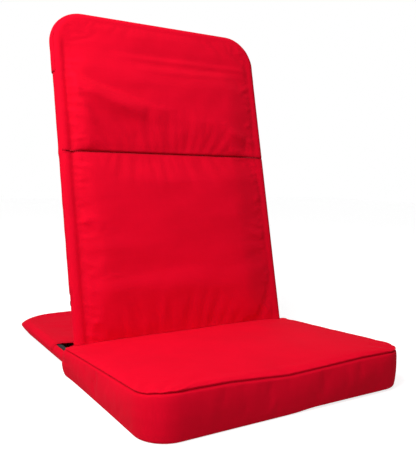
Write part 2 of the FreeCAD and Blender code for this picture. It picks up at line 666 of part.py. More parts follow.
pad_low = size("pad_foot")
pad_high = size("back_length") - size("pad_top_margin")
seam = size("back_seam")
tape = size("back_seam_tape") / 2
for name, low, high in (("lower", pad_low, seam - tape), ("upper", seam + tape, pad_high)):
    outer = pad(low, high, pad_half, frame_half, foam_edge + cloth, crown)
    inner = pad(low + cloth, high - cloth, pad_half - cloth, frame_half - cloth, foam_edge, crown)
    filling = pad(low + cloth + gap, high - cloth - gap, pad_half - cloth - gap, frame_half,
                  foam_edge - gap, crown)
    if high == pad_high:
        outer = outer.common(between_tubes(0, pad_high))
        inner = inner.common(between_tubes(-cloth, pad_high - cloth))
        filling = filling.common(between_tubes(-cloth - gap, pad_high - cloth - gap))
    solid(f"back_foam_{name}", filling, set_on_back)
    solid(f"back_front_panel_{name}", outer.cut(inner), set_on_back)

seam_tape = cube(-pad_half, pad_half, -foam_edge, -frame_half, seam - tape, seam + tape)
solid("back_cross_seam_tape", seam_tape, set_on_back)
lining = cube(-pad_half, pad_half, -frame_half, cloth - frame_half, pad_low, pad_high)
solid("back_lining", lining.common(between_tubes(0, pad_high)), set_on_back)


def back_slab(outset, low):
    """The back's flat outline with rounded top corners, as thick as the tubes in their cloth."""
    half = size(BACK_WIDTH) / 2 + outset
    top = size("back_length") + outset
    r = size("back_corner") + outset
    thick = frame_half + outset
    lean = r * (1 - math.cos(math.radians(45)))
    wire = Part.Wire([
        line(V(-half, -thick, low), V(-half, -thick, top - r)),
        arc(V(-half, -thick, top - r), V(lean - half, -thick, top - lean), V(r - half, -thick, top)),
        line(V(r - half, -thick, top), V(half - r, -thick, top)),
        arc(V(half - r, -thick, top), V(half - lean, -thick, top - lean), V(half, -thick, top - r)),
        line(V(half, -thick, top - r), V(half, -thick, low)),
        line(V(half, -thick, low), V(-half, -thick, low)),
    ])
    slab = Part.Face(wire).extrude(V(0, 2 * thick, 0))
    rim = [
        edge for edge in slab.Edges
        if edge.BoundBox.YLength < 0.01 and edge.BoundBox.ZMax > low + margin
    ]
    return slab.makeFillet(thick - size("rim_flat"), rim)


half = size(BACK_WIDTH) / 2 + margin
hem = size("rear_hem")
case = back_slab(0, pad_low).cut(back_slab(-cloth, pad_low - margin))
front_room = between_tubes(gap, pad_high + gap)
below_hem = cube(-half, half, -deepest, deepest, -margin, hem)
rear_panel = case.cut(front_room).cut(below_hem)
solid("back_rear_panel", rear_panel, set_on_back)

for name, x0, x1 in (("left", -half, -pad_half - gap), ("right", pad_half + gap, half)):
    binding = case.common(cube(x0, x1, -deepest, 0, pad_low, hem - gap))
    solid(f"back_side_binding_{name}", binding, set_on_back)

hood_low = size("back_length") - size("hood_depth")
hood_top = size("back_length") + margin
hood = back_slab(gap + cloth, hood_low).cut(back_slab(gap, hood_low - margin))
hood = hood.cut(cube(-half, half, -deepest, 2 * cloth - frame_half, 0, hood_top))
solid("back_hood_pocket", hood, set_on_back)

doc.recompute()


# Check every object, then write each node

for obj in doc.Objects:
    bad = [state for state in obj.State if state in ("Invalid", "Error")]
    if bad:
        raise RuntimeError(f"{obj.Name} is {bad}")
os.makedirs("parts", exist_ok=True)
for obj in nodes:
    shape = obj.Shape
    if shape.isNull() or not shape.isValid() or not shape.Solids:
        raise RuntimeError(f"{obj.Label} has no valid solid")
    shape.exportStep(f"parts/{obj.Label}.step")
    print(obj.Label, len(shape.Solids), "solids", round(shape.Volume), "mm3")
print(len(nodes), "nodes")
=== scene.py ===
import math
import bpy
import numpy as np
from mathutils import Matrix, Vector
from mathutils.bvhtree import BVHTree


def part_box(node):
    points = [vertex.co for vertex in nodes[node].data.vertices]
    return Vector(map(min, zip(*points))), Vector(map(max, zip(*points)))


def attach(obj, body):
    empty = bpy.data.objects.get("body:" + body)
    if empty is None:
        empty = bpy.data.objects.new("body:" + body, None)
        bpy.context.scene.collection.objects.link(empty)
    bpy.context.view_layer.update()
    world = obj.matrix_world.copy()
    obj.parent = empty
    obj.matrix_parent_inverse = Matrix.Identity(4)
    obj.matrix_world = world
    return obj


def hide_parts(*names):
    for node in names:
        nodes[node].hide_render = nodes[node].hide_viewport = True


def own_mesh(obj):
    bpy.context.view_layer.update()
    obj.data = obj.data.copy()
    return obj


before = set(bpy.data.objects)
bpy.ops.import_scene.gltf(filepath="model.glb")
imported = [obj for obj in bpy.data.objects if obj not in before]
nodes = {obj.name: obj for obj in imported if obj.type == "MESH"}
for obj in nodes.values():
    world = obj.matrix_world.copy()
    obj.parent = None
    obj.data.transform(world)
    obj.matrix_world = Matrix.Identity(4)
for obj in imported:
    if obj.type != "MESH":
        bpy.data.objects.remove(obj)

# Folding floor chair: boxed seat cushion, tall padded back, and a cloth sleeve over its base loop.
# Metres. x across, y to the rear, z up. What rides on the back is shaped lying down, as x across,
# t up the back and depth toward the sitter, and is then leaned.
scene = bpy.context.scene
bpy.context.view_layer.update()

backPlace = {"lean": math.radians(13.3), "foot": (0.0, -0.014, 0.0527)}
onSide = 0.999  # a place of a box's grid, from -1 to 1, is on that side of the box past this
tiny = 1e-9  # keeps a divisor off zero


# Small tools for working as in the viewport

def deselect():
    if bpy.context.object and bpy.context.object.mode == "EDIT":
        bpy.ops.object.mode_set(mode="OBJECT")
    bpy.ops.object.select_all(action="DESELECT")


def pick(piece):
    deselect()
    piece.select_set(True)
    bpy.context.view_layer.objects.active = piece
    return piece


def points(piece):
    flat = np.empty(len(piece.data.vertices) * 3)
    piece.data.vertices.foreach_get("co", flat)
    return flat.reshape(-1, 3)


def movePoints(piece, places):
    piece.data.vertices.foreach_set("co", np.asarray(places, float).ravel())
    piece.data.update()


def freeze(piece):  # place, turn and size go into the mesh
    pick(piece)
    bpy.ops.object.transform_apply(location=True, rotation=True, scale=True)
    return piece


def modify(piece, kind, **settings):
    pick(piece)
    bpy.ops.object.modifier_add(type=kind)
    added = piece.modifiers[-1]
    for name, value in settings.items():
        setattr(added, name, value)
    bpy.ops.object.modifier_apply(modifier=added.name)
    return piece


def deleteFaces(piece, test):  # test sees the middles and the normals of all faces
    pick(piece)
    bpy.ops.object.mode_set(mode="EDIT")
    bpy.ops.mesh.select_mode(type="FACE")
    bpy.ops.mesh.select_all(action="DESELECT")
    bpy.ops.object.mode_set(mode="OBJECT")
    faces = piece.data.polygons
    middle, normal = np.empty(len(faces) * 3), np.empty(len(faces) * 3)
    faces.foreach_get("center", middle)
    faces.foreach_get("normal", normal)
    faces.foreach_set("select", test(middle.reshape(-1, 3), normal.reshape(-1, 3)))
    bpy.ops.object.mode_set(mode="EDIT")
    bpy.ops.mesh.delete(type="FACE")
    bpy.ops.object.mode_set(mode="OBJECT")


def crossCut(piece, at, normal, trimmed=False):  # adds a row of edges where the plane crosses
    pick(piece)
    bpy.ops.object.mode_set(mode="EDIT")
    bpy.ops.mesh.select_all(action="SELECT")
    bpy.ops.mesh.bisect(plane_co=at, plane_no=normal, clear_outer=trimmed)
    bpy.ops.object.mode_set(mode="OBJECT")


def trim(piece, at, normal):  # also drops what lies past the plane
    crossCut(piece, at, normal, trimmed=True)


def smooth(piece, angle=60):
    pick(piece)
    bpy.ops.object.shade_smooth_by_angle(angle=math.radians(angle))


# Curves that the forms are drawn with

def unit(value):
    return np.clip(value, 0, 1)


def ease(value):
    value = unit(value)
    return value * value * (3 - 2 * value)


def bell(value, width):
    return np.exp(-(value / width) ** 2)


def bow(value):  # nothing at 0 and 1, full in the middle
    return np.sin(np.pi * unit(value))


def waves(x, y, scale, seed):  # smooth uneven rise and fall, made of seeded sine waves
    roll = np.random.default_rng(seed)
    total = np.zeros(len(x))
    directions = 5
    for octave in (0, 1):
        for _ in range(directions):
            angle, phase = roll.uniform(0, 2 * math.pi, 2)
            k = 2 * math.pi / scale * roll.uniform(0.7, 1.4) * 2 ** octave
            total += np.sin(k * (x * math.cos(angle) + y * math.sin(angle)) + phase) / 2 ** octave
    return total / directions


def creases(x, y, rows, seed):  # a row has the stretch of its waves in x and y, length and height
    total = 0
    for number, (stretchX, stretchY, length, height) in enumerate(rows):
        total = total + waves(x * stretchX, y * stretchY, length, seed + number) * height
    return total


def alongLine(x, y, path):  # distance to a line of points, negative on its left, and share passed
    path = np.asarray(path, float)
    best = np.full(len(x), np.inf)
    side, along = np.zeros(len(x)), np.zeros(len(x))
    steps = np.linalg.norm(np.diff(path, axis=0), axis=1)
    done = 0.0
    for start, end, step in zip(path[:-1], path[1:], steps):
        dx, dy = (end - start) / step
        reach = np.clip((x - start[0]) * dx + (y - start[1]) * dy, 0, step)
        offX, offY = x - start[0] - dx * reach, y - start[1] - dy * reach
        far = np.hypot(offX, offY)
        nearer = far < best
        best = np.where(nearer, far, best)
        side = np.where(nearer, np.sign(dy * offX - dx * offY), side)
        along = np.where(nearer, (done + reach) / steps.sum(), along)
        done += step
    return best * side, along


foldShape = {"valley": 0.35, "valleyFade": 2.2, "ridgeAt": 2.4, "ridgeFade": 1.1}


def taper(along):  # a fold fades out at its ends
    return bow(along * 0.9 + 0.08) ** 0.7


def fold(x, y, path, width, height):  # a shallow valley left of the line, a broad ridge right of it
    far, along = alongLine(x, y, path)
    down = far / width
    valley, crest = foldShape["valley"], foldShape["ridgeAt"]
    shape = (1 + valley) * np.sin(unit(down / crest) * math.pi / 2) - valley
    shape = np.where(down > crest, bell(down - crest, foldShape["ridgeFade"]), shape)
    shape = np.where(down < 0, -valley * bell(down, foldShape["valleyFade"]), shape)
    return height * taper(along) * shape


def ridge(x, y, path, width, height):
    far, along = alongLine(x, y, path)
    return height * taper(along) * bell(far, width)


# Boxes with even rows of faces, and what is done to every cloth form

def gridBox(name, cuts):  # a cube from -1 to 1, cut into rows of faces along each axis
    deselect()
    bpy.ops.mesh.primitive_cube_add(size=2)
    piece = bpy.context.object
    piece.name = name
    for axis in range(3):
        bpy.ops.object.mode_set(mode="EDIT")
        bpy.ops.mesh.select_mode(type="EDGE")
        bpy.ops.mesh.select_all(action="DESELECT")
        bpy.ops.object.mode_set(mode="OBJECT")
        places = points(piece)
        ends = np.empty(len(piece.data.edges) * 2, int)
        piece.data.edges.foreach_get("vertices", ends)
        ends = ends.reshape(-1, 2)
        step = np.abs(places[ends[:, 0]] - places[ends[:, 1]])
        piece.data.edges.foreach_set("select", step[:, axis] > 1.5)  # the edges still 2 long
        bpy.ops.object.mode_set(mode="EDIT")
        bpy.ops.mesh.subdivide(number_cuts=cuts[axis] - 1)
        bpy.ops.object.mode_set(mode="OBJECT")
    return piece


def ring(u, v, halfX, halfY, cornerFar, cornerNear):
    # the square grid laid on a rounded rectangle, its rings parallel to the outline
    rho = np.maximum(np.maximum(np.abs(u), np.abs(v)), tiny)
    onX = np.abs(u) >= np.abs(v)
    share = np.where(onX, v, u) / rho
    half, other = np.where(onX, halfY, halfX), np.where(onX, halfX, halfY)
    corner = np.maximum(np.where(v > 0, cornerFar, cornerNear), 1e-6)
    length = half - corner + corner * math.pi / 4
    run = np.abs(share) * length
    turn = np.clip((run - (half - corner)) / corner, 0, math.pi / 4)
    along = np.where(run <= half - corner, run, half - corner + corner * np.sin(turn))
    across = np.where(run <= half - corner, other, other - corner + corner * np.cos(turn))
    along *= np.sign(share)
    across *= np.sign(np.where(onX, u, v))
    x = np.where(onX, across, along) * rho
    y = np.where(onX, along, across) * rho
    return x, y, run * np.sign(share) * rho


def rims(u, v):  # 0 in the middle of a panel, 1 on its edge
    return np.maximum(np.abs(u), np.abs(v))


def roundedBox(name, cuts, half, corners, profile):
    # a closed form over a rounded rectangle; profile turns 0..1 up the wall into inset and height
    piece = gridBox(name, cuts)
    u, v, w = points(piece).T
    inset, height = profile((w + 1) / 2)
    inset = np.broadcast_to(inset, u.shape)
    far, near = corners
    x, y, run = ring(u, v, half[0] - inset, half[1] - inset, far - inset, near - inset)
    movePoints(piece, np.stack([x, y, height], 1))
    layThreads(piece, w, x, y, run, height)
    return piece, (u, v, w)


def layThreads(piece, w, x, y, run, height):
    # a UV map in metres that follows the cloth: panels by place, walls by length along them
    wallShift = 0.7  # lays the walls beside the panels
    layer = piece.data.uv_layers[0] if piece.data.uv_layers else piece.data.uv_layers.new()
    layer.name = "threads"
    corner = np.empty(len(piece.data.loops), int)
    piece.data.loops.foreach_get("vertex_index", corner)
    start = np.empty(len(piece.data.polygons), int)
    total = np.empty(len(piece.data.polygons), int)
    piece.data.polygons.foreach_get("loop_start", start)
    piece.data.polygons.foreach_get("loop_total", total)
    face = np.repeat(start, total)
    isPanel = np.bincount(face, np.abs(w[corner]) > onSide)[face] > 3.5  # all four corners
    across = np.where(isPanel, x[corner], run[corner])
    up = np.where(isPanel, y[corner], height[corner] + wallShift)
    layer.data.foreach_set("uv", np.stack([across, up], 1).ravel())


def onBack(x, s, t):  # s is the distance behind the back's plane
    angle = backPlace["lean"]
    foot = backPlace["foot"]
    y = foot[1] + math.cos(angle) * s + math.sin(angle) * t
    z = foot[2] - math.sin(angle) * s + math.cos(angle) * t
    return np.stack([np.broadcast_to(x, y.shape) + foot[0], y, z], 1)


def lean(piece):
    x, t, depth = points(piece).T
    movePoints(piece, onBack(x, -depth, t))


def paintSeamShade(piece, amount):  # painted shade: how dark a point is painted near a seam, a hem or a groove, where shade falls on the cloth
    layer = piece.data.attributes.new("paintedSeamShade", "FLOAT", "POINT")
    layer.data.foreach_set("value", np.asarray(amount, np.float32))


def paintHemShade(piece, at, width):  # painted shade along a turned hem, from a straight edge across the piece
    far = np.abs(points(piece)[:, 1] - at) - width
    paintSeamShade(piece, bell(unit(far), 0.002) * 0.6)


clothHabit = {
    "quality": 5, "mass": 0.2,
    "tension_stiffness": 20, "compression_stiffness": 20, "shear_stiffness": 10,
}


def puff(piece, held, how):  # cloth over its filling: held points stay, the rest swells
    rest = points(piece)
    pick(piece)
    group = piece.vertex_groups.new(name="held")
    group.add([int(i) for i in np.flatnonzero(held)], 1.0, "REPLACE")
    bpy.ops.object.modifier_add(type="CLOTH")
    cloth = piece.modifiers[-1]
    cloth.settings.vertex_group_mass = "held"
    for name, value in clothHabit.items():
        setattr(cloth.settings, name, value)
    cloth.settings.bending_stiffness = how["bending"]
    cloth.settings.use_pressure = True
    cloth.settings.uniform_pressure_force = how["pressure"]
    cloth.settings.shrink_min = -how["growth"]
    cloth.settings.effector_weights.gravity = 0
    cloth.collision_settings.use_collision = False
    cloth.point_cache.frame_start = 1
    cloth.point_cache.frame_end = how["frames"]
    for number in range(1, how["frames"] + 1):
        scene.frame_set(number)
    bpy.ops.object.modifier_apply(modifier=cloth.name)
    piece.vertex_groups.remove(piece.vertex_groups["held"])
    move = points(piece) - rest
    size = np.linalg.norm(move, axis=1)
    print(piece.name, "swelled by up to", round(float(size.max()) * 1000, 1), "mm")
    capped = how["cap"] * np.tanh(size / how["cap"])
    movePoints(piece, rest + move * (capped / np.maximum(size, tiny))[:, None])
    scene.frame_set(1)


def finishCloth(piece, thickness):  # gives a cover its thickness, inward
    smooth(piece)
    modify(piece, "SOLIDIFY", thickness=thickness, offset=-1, use_even_offset=True)
    modify(piece, "SUBSURF", levels=1, render_levels=1)
    smooth(piece)


# Seat cushion

cushion = {
    "cuts": (132, 96, 26), "corners": (0.040, 0.052),  # corners at the rear and in front
    "frontHeight": 0.076, "rearHeight": 0.052, "rearRoll": 0.003, "rollFrom": 0.93,
    "crown": 0.006, "crownShape": 2.2, "draw": 0.001, "rim": 0.125,
    "topCreases": ((1, 1, 0.22, 0.0012), (1, 1, 0.09, 0.0004)),
    "bandCreases": ((1, 0.5, 0.11, 0.0010),), "bandGrain": ((3, 3, 0.10, 0.0005),),
    "wall": (  # share of the grid, height and inset in mm: tucked foot, band, pinched seam, edge
        (0, 0, 3), (0.05, 1.2, 0.2), (0.10, 4, -1.6), (0.14, 7.5, -1.6), (0.20, 13, -2.6),
        (0.40, 36, -4.2), (0.62, 60, -3.8), (0.70, 67.5, -3.0), (0.731, 70.2, -2.4),
        (0.769, 71.6, 0.6), (0.808, 72.8, -2.8), (0.846, 74.0, -2.4), (0.92, 75.3, -0.4),
        (1, 76, 5),
    ),
    "seamUp": 0.769, "seamDepth": 0.0016, "bandFrom": 0.1, "bandTo": 0.75, "heldFoot": 0.11,
    "seamPlaces": (-0.266, -0.231, -0.131, -0.018, 0.060, 0.147, 0.266),
    "seamLifts": (0.003, 0.005, 0.003, -0.005, -0.003, 0.0, 0.0),
    "hollow": 0.0022, "hollowAt": (0.02, -0.15), "hollowSize": (0.07, 0.05),
    "footLift": 0.0035, "liftFrom": 0.02, "liftOver": 0.010,
    "cornerAt": (0.248, 0.172), "cornerSize": (0.030, 0.034), "cornerWay": (0.85, 0.45),
    "cornerBulge": 0.007, "cornerPucker": 0.005, "puckerUp": 0.47,
    "farShare": 0.986, "shift": -0.003,  # the half with x above 0 is a little narrower
    "puff": {"pressure": 2.0, "growth": 0.002, "frames": 20, "cap": 0.004, "bending": 2.0},
}


def cushionWall(up):
    rows, heights, insets = zip(*cushion["wall"])
    return np.interp(up, rows, insets) / 1000, np.interp(up, rows, heights) / 1000


def makeCushion():
    low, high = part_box("seat_side_band")
    half = ((high.x - low.x) / 2, (high.y - low.y) / 2)
    middle = (low.y + high.y) / 2
    piece, (u, v, w) = roundedBox(
        "seat_cushion", cushion["cuts"], half, cushion["corners"], cushionWall)
    x, y, z = points(piece).T
    up = (w + 1) / 2
    rho = rims(u, v)
    top, onWall = w > onSide, rho > onSide
    share = (y + half[1]) / (2 * half[1])
    z = z + np.where(top, (1 - rho ** cushion["crownShape"]), 0) * cushion["crown"]
    x = x - np.sign(x) * cushion["draw"] * unit(1 - (y / half[1]) ** 2) * (np.abs(u) ** 3)
    drawn = cushion["draw"] * unit(1 - (x / half[0]) ** 2) * np.abs(v) ** 3
    y = y + np.where(v < 0, drawn, 0)
    movePoints(piece, np.stack([x, y, z], 1))
    seam = (np.abs(up - cushion["seamUp"]) < 0.02) & onWall  # one row of the grid
    tucked = (w < -onSide) | ((up < cushion["heldFoot"]) & onWall)
    puff(piece, seam | tucked, cushion["puff"])

    # uneven top, with a hollow behind its front edge
    x, y, z = points(piece).T
    (hollowX, hollowY), (wide, deep) = cushion["hollowAt"], cushion["hollowSize"]
    uneven = creases(x, y, cushion["topCreases"], 3)
    uneven = uneven - cushion["hollow"] * bell(x - hollowX, wide) * bell(y - hollowY, deep)
    z = z + np.where(top, uneven * unit((1 - rho) / cushion["rim"]), 0)

    # rippled band, pinched seam line, lifted foot and wavy front seam
    bandFrom, bandTo = cushion["bandFrom"], cushion["bandTo"]
    band = onWall & (up > bandFrom) & (up < bandTo)
    ripple = creases(x + y, z, cushion["bandCreases"], 5) + creases(x, y, cushion["bandGrain"], 6)
    ripple = ripple * bow((up - bandFrom) / (bandTo - bandFrom)) * band
    outX = np.where(np.abs(u) >= np.abs(v), np.sign(u), 0)
    outY = np.where(np.abs(v) > np.abs(u), np.sign(v), 0)
    out = ripple - seam * cushion["seamDepth"]
    x, y = x + outX * out, y + outY * out
    foot = unit(1 - up / 0.2) * onWall * (outY < 0)
    lifted = 1 / (1 + np.exp((cushion["liftFrom"] - x) / cushion["liftOver"]))
    z = z + foot * cushion["footLift"] * lifted
    front = unit(-v) ** 6 * unit((up - 0.3) / 0.4)
    z = z + front * np.interp(x, cushion["seamPlaces"], cushion["seamLifts"])

    # full rear corners with a pucker half way up
    (cornerX, cornerY), (sizeX, sizeY) = cushion["cornerAt"], cushion["cornerSize"]
    nearCorner = bell(np.abs(x) - cornerX, sizeX) * bell(y - cornerY, sizeY) * onWall
    bulge = cushion["cornerBulge"] * bow(up / bandTo) ** 0.8
    bulge = bulge - cushion["cornerPucker"] * bell(up - cushion["puckerUp"], 0.045)
    x = x + nearCorner * bulge * cushion["cornerWay"][0] * np.sign(x)
    y = y + nearCorner * bulge * cushion["cornerWay"][1]

    # the fall from front to rear
    slope = cushion["frontHeight"] + (cushion["rearHeight"] - cushion["frontHeight"]) * share
    rolled = unit((share - cushion["rollFrom"]) / (1 - cushion["rollFrom"]))
    z = z * (slope - cushion["rearRoll"] * rolled) / cushion["frontHeight"]
    x = np.where(x > 0, x * cushion["farShare"], x) + cushion["shift"]
    movePoints(piece, np.stack([x, y + middle, z], 1))
    # painted shade along the pinched side seam of the cushion
    paintSeamShade(piece, bell(up - cushion["seamUp"], 0.024) * onWall * 1.3)
    modify(piece, "SUBSURF", levels=1, render_levels=1)
    smooth(piece)
    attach(piece, "base")
    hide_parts("seat_foam", "seat_top_panel", "seat_side_band", "seat_bottom_panel")
    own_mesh(piece)
    return piece


# Back pads: full between the tubes, wrapped round them, and parted by the cross seam

padSizes = {
    "tubeX": 0.2372, "tubeTop": 0.6672, "tubeCorner": 0.0572, "overTube": 0.0112,
    "tubeRound": 0.0140, "rear": 0.0130, "edge": 0.0145, "crown": 0.0103, "least": 0.0014,
    "groove": 0.0115, "grooveLeft": 0.0036, "grooveRight": 0.0004,
    "sideLeft": 0.036, "sideRight": 0.080, "lip": 0.0022, "lipLength": 0.0045,
    "lower": {
        "low": -0.0045, "high": 0.3813, "corner": 0.004, "covers": "back_lining",
        "cuts": (132, 96, 3), "footRoll": 0.078, "seamFill": 0.50, "seamRoll": 0.050,
        "folds": (  # path in x and t, width, height
            (((-0.240, 0.285), (-0.2265, 0.269), (-0.199, 0.256), (-0.170, 0.234)), 0.0080, 0.0050),
            (((0.158, 0.250), (0.202, 0.238), (0.232, 0.228)), 0.006, 0.0014),
            (((0.168, 0.220), (0.216, 0.209), (0.235, 0.203)), 0.006, 0.0014),
            (((-0.215, 0.225), (-0.16, 0.212), (-0.09, 0.209)), 0.012, 0.0012),
            (((-0.14, 0.130), (0.02, 0.137), (0.17, 0.130)), 0.016, 0.0028),
            (((-0.20, 0.118), (-0.13, 0.124), (-0.06, 0.122)), 0.010, 0.0016),
            (((-0.06, 0.345), (0.06, 0.352), (0.19, 0.342)), 0.012, 0.0012),
        ),
        "ridges": (),
    },
    "upper": {
        "low": 0.3827, "high": 0.6784, "corner": 0.0684, "covers": "back_cross_seam_tape",
        "cuts": (132, 76, 3), "headAt": 0.612, "headRoll": 0.085,
        "seamFill": 0.42, "seamRoll": 0.065,
        "folds": (
            (((-0.229, 0.580), (-0.220, 0.556), (-0.200, 0.540), (-0.160, 0.526),
              (-0.110, 0.510), (-0.050, 0.490)), 0.0120, 0.0086),
            (((-0.110, 0.6000), (0.02, 0.600), (0.225, 0.6030)), 0.0040, 0.0016),
            (((-0.074, 0.5780), (0.05, 0.576), (0.217, 0.5870)), 0.0050, 0.0014),
            (((0.150, 0.4540), (0.2257, 0.4290)), 0.007, 0.0020),
            (((0.150, 0.4080), (0.2286, 0.3930)), 0.006, 0.0018),
            (((0.02, 0.480), (0.12, 0.465), (0.20, 0.462)), 0.018, 0.0018),
        ),
        "ridges": (
            (((-0.226, 0.515), (-0.212, 0.494), (-0.200, 0.466), (-0.178, 0.436)), 0.0120, 0.0056),
            (((-0.205, 0.486), (-0.150, 0.476), (-0.080, 0.462)), 0.0160, 0.0040),
        ),
    },
    "pleats": {
        "length": (0.014, 0.032), "tilt": (-0.9, 0.1), "height": (0.0008, 0.0026),
        "width": (0.0018, 0.0034), "spacing": (0.010, 0.022), "rightShare": 0.35, "top": 0.60,
    },
    "gathers": {"count": 4, "first": 0.004, "pitch": 0.009, "width": 0.0026, "height": 0.0012},
    "creases": ((1, 1, 0.20, 0.0016), (0.6, 1.6, 0.10, 0.0008)),
    "heldRim": 0.985, "heldTop": 0.66, "flatTop": 0.668, "sewnTop": 0.625, "onSeat": 0.0006,
    "puff": {"pressure": 1.5, "growth": 0.004, "frames": 20, "cap": 0.0040, "bending": 1.5},
}


def fromGroove(x):  # how far inside the sewn grooves beside the tubes
    return padSizes["tubeX"] - np.abs(x) - padSizes["groove"]


def padFront(x, t, size):  # how far the front stands before the frame's middle
    inward = fromGroove(x)
    side = unit(inward / np.where(x < 0, padSizes["sideLeft"], padSizes["sideRight"]))
    side = np.where(x < 0, 1 - (1 - side) ** 2.3, ease(side + 0.03))
    depth = np.where(x < 0, padSizes["grooveLeft"], padSizes["grooveRight"])
    sewn = depth * bell(inward, 0.0050) * ease((padSizes["sewnTop"] - t) / 0.03)
    isLower = size is padSizes["lower"]
    toSeam = size["high"] - t if isLower else t - size["low"]
    ends = size["seamFill"] + (1 - size["seamFill"]) * ease(toSeam / size["seamRoll"])
    if isLower:
        ends = ends * (1 - (1 - unit((t - size["low"]) / size["footRoll"])) ** 2.0)
    else:
        ends = ends * ease((size["headAt"] - t) / size["headRoll"])
    front = padSizes["edge"] + padSizes["crown"] * side * ends - sewn
    return front - padSizes["lip"] * (1 - unit(toSeam / padSizes["lipLength"])) ** 2 * side


def wrapTubes(x, t, depth):  # bends what lies past the tubes' middle line round them
    past = np.abs(x) - (padSizes["tubeX"] - padSizes["tubeCorner"])
    over = t - (padSizes["tubeTop"] - padSizes["tubeCorner"])
    both = (past > 0) & (over > 0)
    reach = np.maximum(np.hypot(past, over), tiny)
    out = np.where(both, reach, np.maximum(past, over)) - padSizes["tubeCorner"]
    wayX = np.where(both, past / reach, past > over) * np.sign(x)
    wayT = np.where(both, over / reach, past <= over)
    out = np.maximum(out, 0)
    angle = out / padSizes["tubeRound"]
    x = x + wayX * (depth * np.sin(angle) - out)
    t = t + wayT * (depth * np.sin(angle) - out)
    return x, t, depth * np.cos(angle)


def restOn(piece, under):  # lifts what would sink into the cushion until it lies on it
    faces = [tuple(face.vertices) for face in under.data.polygons]
    tree = BVHTree.FromPolygons(points(under).tolist(), faces)
    places = points(piece)
    above, down = 0.3, Vector((0, 0, -1))
    for number in np.flatnonzero((places[:, 2] < 0.075) & (places[:, 1] < 0.003)):
        hit = tree.ray_cast(Vector((places[number, 0], places[number, 1], above)), down)[0]
        if hit and places[number, 2] < hit.z + padSizes["onSeat"]:
            places[number, 2] = hit.z + padSizes["onSeat"]
    movePoints(piece, places)


def sidePleats(x, t, size):  # short gathers beside the tubes and at the ends of the cross seam
    roll = np.random.default_rng(int(size["high"] * 1000) + 5)
    total = np.zeros(len(x))
    edge = padSizes["tubeX"] - padSizes["groove"]
    pleats, gathers = padSizes["pleats"], padSizes["gathers"]
    for side in (-1, 1):
        at = size["low"] + 0.03
        while at < min(size["high"], pleats["top"]) - 0.02:
            length, tilt = roll.uniform(*pleats["length"]), roll.uniform(*pleats["tilt"])
            start = side * (edge + 0.001)
            path = ((start, at), (start - side * length, at + tilt * length))
            height = roll.uniform(*pleats["height"]) * (1.0 if side < 0 else pleats["rightShare"])
            total += fold(x, t, path, roll.uniform(*pleats["width"]), height)
            at += roll.uniform(*pleats["spacing"])
    isLower = size is padSizes["lower"]
    seam = size["high"] if isLower else size["low"]
    away = -1 if isLower else 1
    for side in (-1, 1):
        for number in range(gathers["count"]):
            start = side * (edge - gathers["first"] - gathers["pitch"] * number)
            tilt = away * (0.014 + 0.004 * number)
            path = ((start, seam + away * 0.003), (start + side * 0.004, seam + tilt))
            total += fold(x, t, path, gathers["width"], gathers["height"])
    return total


def makePad(which):
    size = padSizes[which]
    half = (padSizes["tubeX"] + padSizes["overTube"], (size["high"] - size["low"]) / 2)
    middle = (size["high"] + size["low"]) / 2
    rear, edge = padSizes["rear"], padSizes["edge"]

    def wall(up):
        return 0.0006 * (2 * up - 1) ** 2, rear + (edge - rear) * up

    piece, (u, v, w) = roundedBox(
        "back_pad_" + which, size["cuts"], half, (size["corner"], 0.002), wall)
    x, t, front = points(piece).T
    t = t + middle
    face = w > onSide
    rho = rims(u, v)
    cover = padFront(x, t, size)
    lowest = cover - padSizes["least"]
    front = np.where(face, cover, np.where(w < -onSide, np.minimum(front, lowest), front))
    movePoints(piece, np.stack([x, t, front], 1))
    onBand = np.abs(x) > padSizes["tubeX"] - padSizes["groove"]
    sewn = (rho > padSizes["heldRim"]) | onBand | (t > padSizes["heldTop"])
    puff(piece, ~face | sewn, padSizes["puff"])

    x, t, front = points(piece).T
    inward = fromGroove(x)
    inside = face * unit((1 - rho) * 14) * ease((padSizes["flatTop"] - t) / 0.03)
    rise = creases(x, t, padSizes["creases"], 11)
    for path, width, height in size["folds"]:
        rise = rise + fold(x, t, path, width, height)
    for path, width, height in size["ridges"]:
        rise = rise + ridge(x, t, path, width, height)
    rise = rise * ease((inward - 0.001) / 0.012) + sidePleats(x, t, size)
    least = np.minimum(rear, lowest) + 0.0008
    front = np.where(face, np.maximum(front + rise * inside, least), front)
    # painted shade in the sewn grooves beside the tubes, full on the left and faint on the right,
    # and along the cross seam
    groove = bell(inward, 0.0020) * ease((0.60 - t) / 0.03) * np.where(x < 0, 1.0, 0.1)
    seam = size["high"] if which == "lower" else size["low"]
    paintSeamShade(piece, np.maximum(bell(t - seam, 0.0035) * 1.4, groove))
    movePoints(piece, np.stack(wrapTubes(x, t, front), 1))
    modify(piece, "SUBSURF", levels=1, render_levels=1)
    lean(piece)
    if which == "lower":
        restOn(piece, seatCushion)
    smooth(piece)
    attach(piece, "back")
    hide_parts("back_foam_" + which, "back_front_panel_" + which, size["covers"])
    return piece


print("cushion and pads")
seatCushion = makeCushion()
backPads = [makePad("lower"), makePad("upper")]


# Cloth case of the back, and the hood pocket over its top

case = {
    "half": 0.250, "top": 0.680, "foot": -0.0005, "corner": 0.070, "thick": 0.0128,
    "cloth": 0.0015, "hem": 0.098, "hemWidth": 0.012, "barAt": 0.130, "seamAt": 0.382,
    "opening": 0.2372, "cuts": (84, 112, 14), "sag": 0.0035, "spare": 0.05,
    "creases": ((1.8, 0.7, 0.16, 0.0016), (1, 1, 0.07, 0.0004)), "seamBump": 0.0016,
}
hood = {
    "outset": 0.0017, "foot": 0.548, "hemWidth": 0.010, "cloth": 0.0012, "front": 0.0098,
    "slant": 0.05,
}


def tubeWall(thick):  # a full round edge
    def wall(up):
        turn = (up - 0.5) * math.pi
        return thick - thick * np.cos(turn), thick * np.sin(turn)
    return wall


